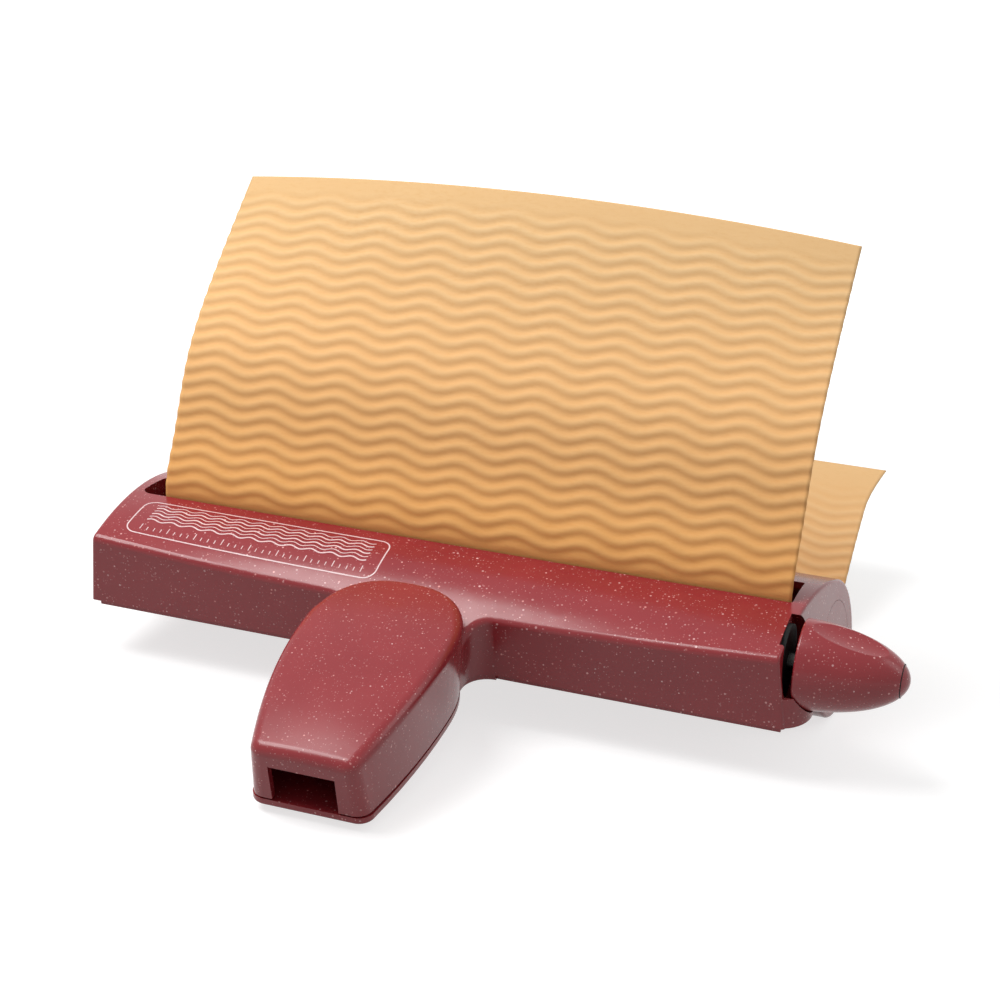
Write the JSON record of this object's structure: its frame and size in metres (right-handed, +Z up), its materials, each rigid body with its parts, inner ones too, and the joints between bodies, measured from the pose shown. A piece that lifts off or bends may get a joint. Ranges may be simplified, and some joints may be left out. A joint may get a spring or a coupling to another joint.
{
  "type": "hand cranked paper crimper",
  "caption": "Hand-held paper crimper: a wide roller housing with a paper slot, a palm handle that closes it and a turning knob, shown with a wave-crimped sheet.",
  "frame": {"origin": "on the bench, straight below the rear hinge axis, at the middle of the crossbar", "axes": "+X along the crossbar towards the knob, +Y away from the handle, +Z up"},
  "size_m": [0.277, 0.2735, 0.1483],
  "materials": {
    "speckled_burgundy": "glossy burgundy moulding with fine pale speckles",
    "acetal_white": "satin white acetal",
    "acetal_black": "satin black acetal",
    "roller_grey": "satin dark grey moulded roller",
    "steel": "bright steel",
    "foot_rubber": "matte black rubber",
    "orange_paper": "light orange craft paper"
  },
  "bodies": {
    "base": {"lower_body": "speckled_burgundy", "pressure_bush_left": "acetal_white", "pressure_bush_right": "acetal_white", "opening_spring": "steel", "rear_feet": "foot_rubber", "tip_foot": "foot_rubber", "rear_sheet": "orange_paper"},
    "upper": {"upper_shell": "speckled_burgundy", "palm_rest": "speckled_burgundy", "palm_rest_screws": "steel", "hinge_cap_left": "speckled_burgundy", "hinge_cap_right": "speckled_burgundy", "hinge_pin_left": "steel", "hinge_pin_right": "steel", "drive_bush_left": "acetal_white", "drive_bush_right": "acetal_black", "front_sheet": "orange_paper"},
    "drive": {"drive_shaft": "steel", "drive_roller": "roller_grey", "drive_spacer": "acetal_white", "knob": "speckled_burgundy", "knob_cap": "speckled_burgundy", "knob_screw": "steel"},
    "pressure": {"pressure_shaft": "steel", "pressure_roller": "roller_grey", "pressure_washer": "acetal_white"}
  },
  "joints": [
    {"name": "handle_open", "type": "hinge", "parent": "base", "child": "upper", "pos_m": [0, 0, 0.023], "axis": [-1, 0, 0], "range_deg": [0, 25]},
    {"name": "knob_spin", "type": "hinge", "parent": "upper", "child": "drive", "pos_m": [0, -0.04479, 0.03574], "axis": [1, 0, 0], "continuous": true},
    {"name": "pressure_spin", "type": "hinge", "parent": "base", "child": "pressure", "pos_m": [0, -0.03069, 0.02827], "axis": [1, 0, 0], "continuous": true}
  ],
  "couplings": [
    {"joint": "pressure_spin", "follows": "knob_spin", "ratio": -1}
  ]
}
